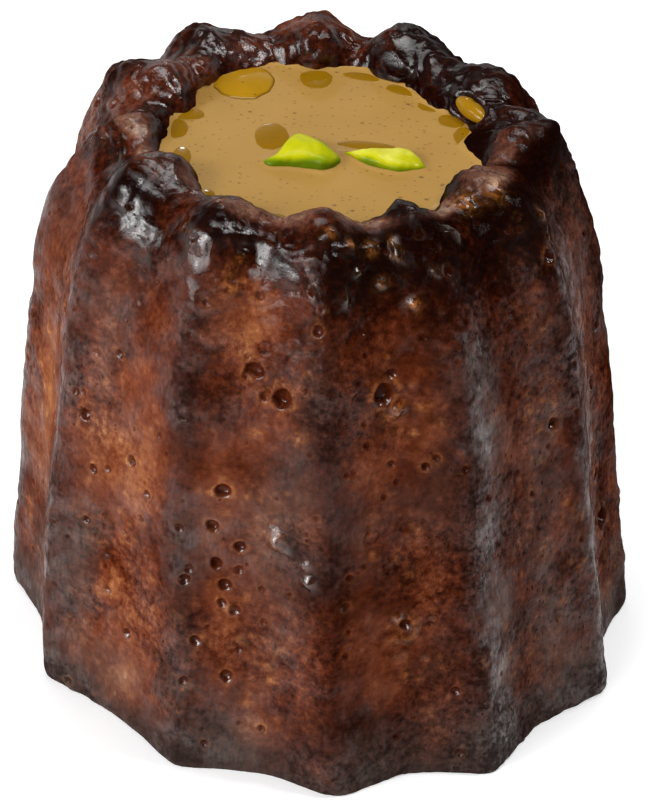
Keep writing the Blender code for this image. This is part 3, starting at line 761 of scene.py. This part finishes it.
def make_sliver(name, stations, mat, node, seed, pale):
    """A sliver of pistachio: rounded sections along x."""
    around, steps = 56, 60
    spread = np.linspace(0, len(stations) - 1, steps)
    line = np.array(stations)
    pad = np.vstack([2 * line[0] - line[1], line, 2 * line[-1] - line[-2]])
    i = np.minimum(spread.astype(int), len(stations) - 2)
    curve = between(*(pad[i + k] for k in range(4)), (spread - i)[:, None]) * MM
    turn = 2 * math.pi * np.arange(around) / around
    side, rise = (np.sign(v) * np.abs(v) ** 0.75 for v in (np.cos(turn), np.sin(turn)))
    ends = np.sin(np.pi * (spread / spread[-1] * 0.92 + 0.04)) ** 0.35
    low = CREAM_LEVEL - SUNK
    high = CREAM_LEVEL + np.maximum(curve[:, 3], 0.1 * MM)
    middle, tall = (low + high) / 2, (high - low) / 2
    rings = np.empty((steps, around, 3))
    rings[..., 0] = curve[:, 0, None]
    rings[..., 1] = curve[:, 1, None] + side * (np.maximum(curve[:, 2], 0.1 * MM) * ends)[:, None]
    rings[..., 2] = middle[:, None] + rise * (tall * ends)[:, None]
    out = rings - rings.mean(axis=1, keepdims=True)
    out /= np.maximum(length(out)[..., None], 1e-9)
    rough = 0.16 * MM * wander(rings, 1.6, seed) + 0.06 * MM * wander(rings, 0.6, seed)
    skin = 1.1 - ease(rise * ends[:, None] - 0.05 + 0.6 * wander(rings, 1.8, seed + 9)) - pale
    rings = (rings + out * rough[..., None])[::-1]
    mesh = mesh_from_rings(name, rings, rings[0].mean(axis=0), rings[-1].mean(axis=0))
    add_attribute(mesh, "skin", np.concatenate([skin[::-1].ravel(), [1, 1]]))
    return place_piece(name, mesh, mat, node)


def make_oil(mat):
    """The drops of oil: thin domes with an uneven outline, and the bead in the rim."""
    verts, faces, edge = [], [], []
    columns, rows = 72, 14
    angle = 2 * math.pi * np.arange(columns) / columns
    shares = np.linspace(1, 1 / rows, rows)
    for n, (x, y, half_x, half_y, turn, height) in enumerate(OIL_DROPS):
        circle = np.stack([np.cos(angle), np.sin(angle), np.full(columns, n * 7.3)], -1) * MM
        uneven = 1 + 0.1 * wander(circle, 1.1, 2) + 0.05 * wander(circle, 0.3, 6)
        c, s = math.cos(math.radians(turn)), math.sin(math.radians(turn))
        u = half_x * MM * shares[:, None] * uneven * np.cos(angle)
        v = half_y * MM * shares[:, None] * uneven * np.sin(angle)
        dome = height * MM * (1 - shares**2) ** 0.75
        points = np.stack([x * MM + c * u - s * v, y * MM + s * u + c * v, 0 * u], -1)
        points[..., 2] = CREAM_LEVEL + cream_swell(points) + dome[:, None] + 0.01 * MM
        points[0, :, 2] -= 0.06 * MM
        add_dome(verts, faces, points)
        thin = THIN_OIL if height < THICK_DROP else 0
        edge += [max(share, thin) for share in shares for _ in range(columns)] + [thin]
    lengthwise, centre = (BEAD_END - BEAD_START) / 2, (BEAD_START + BEAD_END) / 2
    sideways = np.cross(lengthwise, (0, 0, 1))
    sideways *= BEAD_HALF * MM / length(sideways)
    tilt = np.linspace(-0.5, 0.5 - 0.5 / rows, rows) * math.pi
    points = centre + (np.cos(tilt)[:, None, None] * (np.cos(angle)[:, None] * lengthwise
                                                      + np.sin(angle)[:, None] * sideways))
    points[..., 2] += np.sin(tilt)[:, None] * 0.75 * MM
    points += 0.12 * MM * wander_vector(points, 1.2)
    add_dome(verts, faces, points[1:])
    edge += [BEAD_OIL] * ((rows - 1) * columns + 1)
    mesh = bpy.data.meshes.new("oil_drops")
    mesh.from_pydata(verts, [], faces)
    mesh.shade_smooth()
    add_attribute(mesh, "edge", np.array(edge))
    return place_piece("oil_drops", mesh, mat)


def add_dome(verts, faces, points):
    """Adds a closed dome of rings, the first the widest or the lowest."""
    start, (rows, columns) = len(verts), points.shape[:2]
    verts += [tuple(p) for p in points.reshape(-1, 3).tolist()]
    verts.append(tuple(points[-1].mean(axis=0).tolist()))
    tip = len(verts) - 1
    for k in range(columns):
        nxt = (k + 1) % columns
        for r in range(rows - 1):
            low, high = start + r * columns, start + (r + 1) * columns
            faces.append((low + k, low + nxt, high + nxt, high + k))
        last = start + (rows - 1) * columns
        faces.append((tip, last + k, last + nxt))
    faces.append(tuple(start + k for k in range(columns))[::-1])


# ---------- Materials
class Tree:
    """The shader nodes of a material or of the world, under construction."""

    def __init__(self, owner, shader="Principled BSDF", place="Object"):
        owner.use_nodes = True
        self.owner, self.tree = owner, owner.node_tree
        self.shader = self.tree.nodes[shader]
        self.place = self.add("TexCoord").outputs[place]

    def add(self, kind, inputs=None, **settings):
        """A node with its settings, and its inputs by name or number."""
        made = self.tree.nodes.new("ShaderNode" + kind)
        for key, value in settings.items():
            setattr(made, key, value)
        for key, value in (inputs or {}).items():
            self.join(value, made.inputs[key])
        return made

    def join(self, source, target):
        """Links a socket, or sets a plain value."""
        if isinstance(source, bpy.types.NodeSocket):
            self.tree.links.new(source, target)
        else:
            target.default_value = (*source, 1) if target.type == "RGBA" else source

    def stretched(self, vector, stretch, shift=0):
        return self.add("Mapping", {"Vector": vector, "Scale": stretch,
                                    "Location": (shift, shift, shift)}).outputs["Vector"]

    def texture(self, wave, detail, rough=0.5, bend=0, vector=None):
        return self.add("TexNoise", {"Vector": vector or self.place, "Scale": 1 / (wave * MM),
                                     "Detail": detail, "Roughness": rough, "Distortion": bend})

    def noise(self, wave, detail, rough, shift=0, bend=0, stretch=(1, 1, 1)):
        """Noise of one wavelength in millimetres, about 0 to 1."""
        vector = self.stretched(self.place, stretch, shift)
        return self.texture(wave, detail, rough, bend, vector).outputs["Fac"]

    def bent_place(self, reach, wave):
        """Object coordinates pushed about by noise, for outlines that aren't round."""
        push, most = self.texture(wave, 2).outputs["Color"], 2 * reach * MM
        return self.add("VectorMath", {0: push, 1: (most, most, most), 2: self.place},
                        operation="MULTIPLY_ADD").outputs["Vector"]

    def spots(self, wave, keep, small, large, vector=None):
        """Soft round spots, one in some of the cells of a lattice: radii as shares of a cell."""
        where = {"Vector": vector or self.place, "Scale": 1 / (wave * MM)}
        cells = self.add("TexVoronoi", where).outputs
        drawn = self.add("SeparateColor", {"Color": cells["Color"]}).outputs["Red"]
        disc = self.remap(cells["Distance"], large, small)
        return self.times(self.math("LESS_THAN", drawn, keep), disc)

    def field(self, name):
        return self.add("Attribute", attribute_name=name).outputs["Fac"]

    def axis(self, name):
        return self.add("SeparateXYZ", {0: self.place}).outputs[name]

    def math(self, kind, a, b=0, c=0, clamp=False):
        made = self.add("Math", {0: a, 1: b, 2: c}, operation=kind, use_clamp=clamp)
        return made.outputs["Value"]

    def times(self, a, b, clamp=False):
        return self.math("MULTIPLY", a, b, clamp=clamp)

    def scaled(self, value, scale, added):
        """The value times the scale, and what is added."""
        return self.math("MULTIPLY_ADD", value, scale, added)

    def remap(self, value, low, high, to_low=0, to_high=1):
        """Eases from one number to another as the value goes from low to high."""
        return self.add("MapRange", {"Value": value, "From Min": low, "From Max": high,
                                     "To Min": to_low, "To Max": to_high},
                        interpolation_type="SMOOTHSTEP").outputs["Result"]

    def mix(self, share, a, b):
        made = self.add("Mix", {0: share}, data_type="RGBA")
        for target, colour in zip((s for s in made.inputs if s.type == "RGBA"), (a, b)):
            self.join(colour, target)
        return next(s for s in made.outputs if s.type == "RGBA")

    def ramp(self, value, stops):
        made = self.add("ValToRGB", {"Fac": value})
        elements = made.color_ramp.elements
        while len(elements) < len(stops):
            elements.new(0.5)
        for element, (at, colour) in zip(elements, stops):
            element.position = at
            element.color = (*colour, 1)
        return made.outputs["Color"]

    def bump(self, height, distance, strength=1):
        return self.add("Bump", {"Height": height, "Distance": distance,
                                 "Strength": strength}).outputs["Normal"]

    def set(self, **values):
        """Sets the shader's inputs by name, and gives back the material."""
        for key, value in values.items():
            self.join(value, self.shader.inputs[key.replace("_", " ")])
        return self.owner


def new_material(name):
    return Tree(bpy.data.materials.new(name))


def crust_marks(t, bent):
    """Fine sunken dots and slits, and cracks, where crinkled: dark, partly painted shade."""
    crinkled = t.field("crinkled")
    patchy = t.remap(t.noise(3, 3, 0.6, 8), 0.54, 0.7, 0, 0.8)
    off = t.math("SUBTRACT", t.texture(1.5, 2, vector=bent).outputs["Fac"], 0.5)
    cracks = t.times(t.remap(t.math("ABSOLUTE", off), 0.026, 0), patchy)
    cracks = t.times(cracks, t.scaled(crinkled, 0.9, 0.1))
    nicks = t.spots(0.62, 0.34, 0.04, 0.28, t.bent_place(0.25, 0.5))
    nicks = t.times(nicks, t.scaled(crinkled, 0.75, 0.08))
    slits = t.spots(0.75, 0.5, 0.06, 0.21, t.stretched(bent, (1.5, 1.5, 0.6)))
    slits = t.times(slits, t.remap(t.axis("X"), 4 * MM, 15 * MM, 0.15, 1))
    return t.math("MAXIMUM", nicks, slits), cracks


def crust_tone(t, bent, glow):
    """How dark the crust is, burning and painted shade, with the mottling the mesh is too coarse
    for.
    """
    coarse, fine = t.noise(2.2, 3, 0.55, 1.3, 0.6), t.noise(0.5, 3, 0.6, 2.1)
    tone = t.math("ADD", t.field("burnt"), t.scaled(coarse, 0.6, -0.3))
    mottling = t.scaled(t.field("crinkled"), 0.55, 0.5)
    tone = t.scaled(t.math("SUBTRACT", fine, 0.5), mottling, tone)
    tone = t.scaled(glow, -0.36, tone)
    return t.scaled(t.spots(1.3, 0.35, 0.05, 0.45, bent), -0.15, tone)


def crust_coat(t, tone, marks):
    """How much clear glaze lies on the crust: a streaky veil, the glazed rim and wet spots."""
    veil = t.remap(t.noise(1.8, 3, 0.55, 9.1), 0.36, 0.64, 0.5, 1.4)
    fibres = t.noise(0.45, 3, 0.6, 3.9, stretch=(1.6, 1.6, 0.35))
    veil = t.times(veil, t.remap(fibres, 0.3, 0.7, 0.6, 1.4))
    coat = t.times(t.field("satin"), veil)
    coat = t.times(coat, t.remap(tone, 0.72, 1.05, 1, 0.2))
    coat = t.math("MAXIMUM", coat, t.field("glaze"))
    coat = t.math("MAXIMUM", coat, t.times(t.field("wet"), 0.75))
    return t.times(coat, t.scaled(marks, -0.9, 1), clamp=True)


def crust_height(t, dots, cracks):
    """The finest relief, in millimetres."""
    crinkled = t.field("crinkled")
    height = t.times(t.noise(0.85, 4, 0.6, 6), t.scaled(crinkled, 0.26, 0.05))
    height = t.scaled(t.noise(0.3, 3, 0.6, 5), t.scaled(crinkled, 0.07, 0.022), height)
    height = t.scaled(t.noise(0.34, 4, 0.75, 11), t.times(t.field("glaze"), 0.2), height)
    height = t.scaled(cracks, -0.06, height)
    height = t.scaled(dots, -0.12, height)
    return t.scaled(t.noise(0.1, 2, 0.5, 7), 0.012, height)


def crust_material():
    t = new_material("crust_glaze")
    bent = t.bent_place(0.35, 1.1)
    dots, cracks = crust_marks(t, bent)
    marks = t.math("MAXIMUM", dots, cracks)
    mottled = t.remap(t.noise(0.55, 3, 0.6, 3.3), 0.4, 0.6, 0.25, 1.25)
    glow = t.times(t.field("glow"), mottled)
    pit, wet = t.field("pit"), t.field("wet")
    tone = crust_tone(t, bent, glow)
    burnt = t.times(tone, 0.8)
    # Grey painted into the colour where the painted sheen lies
    colour = t.mix(t.times(t.field("grey_sheen"), 0.78), t.ramp(burnt, BROWNS), t.ramp(burnt, GREYS))
    colour = t.mix(t.times(glow, t.remap(tone, 0.2, 0.7, 0.35, 0.28), clamp=True), colour, AMBER)
    # Sunken marks painted dark: partly their own colour, partly painted shade
    colour = t.mix(t.times(marks, 0.85), colour, MARK_BROWN_AND_SHADE)
    # The pits' insides painted darker: partly deeper caramel, partly painted shade
    colour = t.mix(t.times(pit, 0.8), colour, PIT_BROWN_AND_SHADE)
    rough = t.remap(t.noise(1.1, 3, 0.6, 4.4), 0.3, 0.7, 0.2, 0.4)
    rough = t.times(rough, t.remap(t.math("MAXIMUM", wet, pit), 0, 0.8, 1, 0.45))
    height = crust_height(t, dots, cracks)
    return t.set(Base_Color=colour, Roughness=rough, Coat_Weight=crust_coat(t, tone, marks),
                 Coat_Roughness=0.17, Coat_IOR=1.9, Specular_IOR_Level=0,
                 Normal=t.bump(height, 1 * MM), Coat_Normal=t.bump(height, 1 * MM, 0.24))


def cream_material():
    t = new_material("cream_tan")
    colour = t.mix(t.noise(4, 3, 0.5), CREAM_LIGHT, CREAM_DARK)
    flat = t.stretched(t.bent_place(0.1, 0.3), (0.7, 1, 1))
    small, large = t.spots(0.45, 0.5, 0.1, 0.3, flat), t.spots(1.3, 0.45, 0.05, 0.15, flat)
    colour = t.mix(t.times(small, 0.75), colour, CREAM_SPECK)
    colour = t.mix(t.times(large, 0.85), colour, CREAM_DOT)
    return t.set(Base_Color=colour, Roughness=0.42, Coat_Weight=0.05, Coat_Roughness=0.1,
                 Specular_IOR_Level=0.15,
                 Normal=t.bump(t.noise(0.8, 2, 0.5, 5), 0.02 * MM, 0.4))


def nut_material():
    t = new_material("pistachio_green")
    fine = t.noise(0.4, 3, 0.6, 1.7)
    skin = t.scaled(t.noise(1.8, 3, 0.55, 0.7), 0.5, t.times(t.field("skin"), 0.75))
    colour = t.ramp(t.scaled(fine, 0.12, skin), GREENS)
    return t.set(Base_Color=colour, Roughness=0.4, Coat_Weight=0.14, Coat_Roughness=0.12,
                 Specular_IOR_Level=0.03, Normal=t.bump(fine, 0.05 * MM, 0.5))


def oil_material():
    t = new_material("amber_oil")
    thin = t.remap(t.field("edge"), 0.86, 1)
    colour = t.mix(thin, t.mix(t.noise(2.5, 3, 0.6, 0.4), OIL_DARK, OIL_LIGHT), OIL_THIN)
    colour = t.mix(t.times(t.spots(1.1, 0.3, 0.04, 0.14), 0.7), colour, OIL_SPECK)
    return t.set(Base_Color=colour, Roughness=0.12, Coat_Weight=t.scaled(thin, -0.45, 0.6),
                 Coat_Roughness=0.04, Specular_IOR_Level=0.1)


def floor_material():
    return new_material("pale_floor").set(
        Base_Color=(0.86, 0.86, 0.865), Roughness=0.75, Emission_Color=(1, 1, 1),
        Emission_Strength=0.31)


# ---------- Floor, lights, camera
def make_floor():
    bpy.ops.mesh.primitive_plane_add(size=4, location=(0, 0, -FLOOR_DROP))
    floor = bpy.context.object
    floor.name = "floor"
    floor.data.materials.append(floor_material())


def make_light():
    """A dim room, bright along the horizon behind, with soft boxes in front on the left."""
    world = bpy.data.worlds.new("studio")
    scene.world = world
    t = Tree(world, "Background", "Generated")
    low_down = t.remap(t.axis("Z"), 0.05, 0.6, 1, 0.06)
    behind = t.remap(t.axis("Y"), -0.4, 0.4, 0.15, 1)
    t.set(Color=(1, 1, 1), Strength=t.times(low_down, behind))
    for name, place, aim_height, size, power in LIGHTS:
        lamp = bpy.data.lights.new(name, "AREA")
        lamp.shape = "RECTANGLE"
        lamp.size, lamp.size_y = size
        lamp.energy = power
        light = bpy.data.objects.new(name, lamp)
        scene.collection.objects.link(light)
        light.location = place
        ahead = Vector((0, 0, aim_height)) - Vector(place)
        light.rotation_euler = ahead.to_track_quat("-Z", "Y").to_euler()


def make_camera():
    """The photograph's view: from the front, looking down, the camera a little rolled."""
    data = bpy.data.cameras.new("camera")
    data.sensor_width = SENSOR
    data.lens = FOCAL_PIXELS * SENSOR / IMAGE_HEIGHT
    data.shift_x = (IMAGE_WIDTH / 2 - AXIS_PIXEL[0]) / IMAGE_HEIGHT
    data.shift_y = (AXIS_PIXEL[1] - IMAGE_HEIGHT / 2) / IMAGE_HEIGHT
    data.clip_start, data.clip_end = 0.01, 10
    camera = bpy.data.objects.new("camera", data)
    scene.collection.objects.link(camera)
    ce, se = math.cos(CAMERA_ELEVATION), math.sin(CAMERA_ELEVATION)
    right, up, back = Vector((1, 0, 0)), Vector((0, se, ce)), Vector((0, -ce, se))
    c, s = math.cos(CAMERA_ROLL), math.sin(CAMERA_ROLL)
    matrix = Matrix((right * c + up * s, up * c - right * s, back)).transposed().to_4x4()
    matrix.translation = Vector((0, 0, CAMERA_AIM)) + back * CAMERA_DISTANCE
    camera.matrix_world = matrix
    scene.camera = camera


def settle(pieces):
    """Slides the pieces and the camera so that the crust is centred as the solids are."""
    crust = pieces[0]
    flat = np.empty(len(crust.data.vertices) * 3)
    crust.data.vertices.foreach_get("co", flat)
    points = flat.reshape(-1, 3)
    middle = (points.min(axis=0) + points.max(axis=0)) / 2
    low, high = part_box("pastry")
    shift = Vector(((low[0] + high[0]) / 2 - middle[0], (low[1] + high[1]) / 2 - middle[1], 0))
    for piece in pieces:
        piece.data.transform(Matrix.Translation(shift))
    scene.camera.matrix_world.translation += shift


make_camera()
make_light()
make_floor()
crust = make_crust(crust_material())
cream = make_cream(cream_material())
green = nut_material()
nuts = [
    make_sliver("nut_left", SLIVER_LEFT, green, "pistachio_left", 1, 0.1),
    make_sliver("nut_right", SLIVER_RIGHT, green, "pistachio_right", 4, 0.3),
]
oil = make_oil(oil_material())
settle([crust, cream, oil] + nuts)

scene.view_settings.view_transform = "Standard"
bpy.context.view_layer.update()
